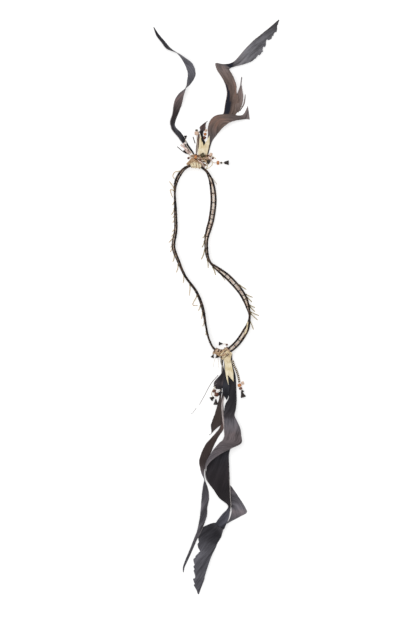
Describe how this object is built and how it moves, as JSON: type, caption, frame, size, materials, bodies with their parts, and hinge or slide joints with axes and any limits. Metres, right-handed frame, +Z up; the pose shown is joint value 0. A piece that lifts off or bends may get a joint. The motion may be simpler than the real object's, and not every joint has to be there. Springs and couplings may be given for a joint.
{
  "type": "feathered headdress",
  "caption": "Feathered headdress: a soft head loop of two wound rims and a pale strip, with stripped curling feathers, hide tabs and beaded threads bound in front and behind.",
  "frame": {"origin": "centre of the footprint, on the surface that the headdress lies on", "axes": "+Y towards the front feathers, +X to the right as seen from above, +Z up"},
  "size_m": [0.1638, 0.747, 0.0151],
  "materials": {
    "dark_winding": "wound dark cord",
    "pale_strip": "matte pale strip",
    "tan_lashing": "wound waxed thread",
    "cream_hide": "matte raw hide",
    "grey_vane": "feather vane with a soft sheen",
    "brown_vane": "feather vane with a soft sheen",
    "dark_vane": "feather vane with a soft sheen",
    "pale_shaft": "bare feather shaft",
    "pale_thread": "matte twisted thread",
    "grey_cord": "twisted strip",
    "orange_bead": "glossy bead",
    "pink_bead": "satin bead",
    "dark_bead": "glossy dark bead",
    "white_bead": "satin bead",
    "black_seed": "polished seed shell",
    "olive_seed": "polished seed"
  },
  "bodies": {
    "root": {"band_strip": "pale_strip", "band_rim_upper": "dark_winding", "band_rim_lower": "dark_winding", "front_lashing": "tan_lashing", "rear_lashing": "tan_lashing", "front_binding": "tan_lashing", "front_tab": "cream_hide", "rear_tab": "cream_hide", "front_feather_left": "grey_vane", "front_strip_brown": "brown_vane", "front_feather_small": "dark_vane", "front_feather_tall": "brown_vane", "front_feather_curl": "brown_vane", "rear_feather_fold": "dark_vane", "rear_feather_brown": "brown_vane", "rear_feather_left": "grey_vane", "rear_shaft_pale": "pale_shaft", "rear_feather_short": "dark_vane", "rear_feather_blade": "dark_vane", "rear_feather_main": "grey_vane", "front_barb_long": "brown_vane", "front_barb_short": "brown_vane", "rear_small_leaf": "dark_vane", "front_left_thread": "pale_thread", "front_white_bead": "white_bead", "front_cross_seed": "black_seed", "front_side_thread": "pale_thread", "front_side_seed": "black_seed", "front_drop_thread": "pale_thread", "front_amber_bead": "orange_bead", "front_olive_bead": "olive_seed", "front_heart_seed": "black_seed", "front_top_thread": "pale_thread", "front_cream_bead": "pink_bead", "front_tip_bead": "olive_seed", "front_right_thread": "pale_thread", "front_pink_bead": "pink_bead", "front_brown_bead": "dark_bead", "front_cross_thread": "pale_thread", "front_dark_bead": "dark_bead", "front_orange_bead": "orange_bead", "front_red_bead": "dark_bead", "front_triangle_seed": "black_seed", "rear_inner_thread": "pale_thread", "rear_inner_bead": "dark_bead", "rear_inner_seed": "black_seed", "rear_twisted_cord": "grey_cord", "rear_drop_thread": "pale_thread", "rear_orange_bead": "orange_bead", "rear_brown_bead": "dark_bead", "rear_cone_seed": "black_seed", "rear_left_thread": "pale_thread", "rear_red_bead": "dark_bead", "rear_big_seed": "black_seed"}
  },
  "joints": []
}
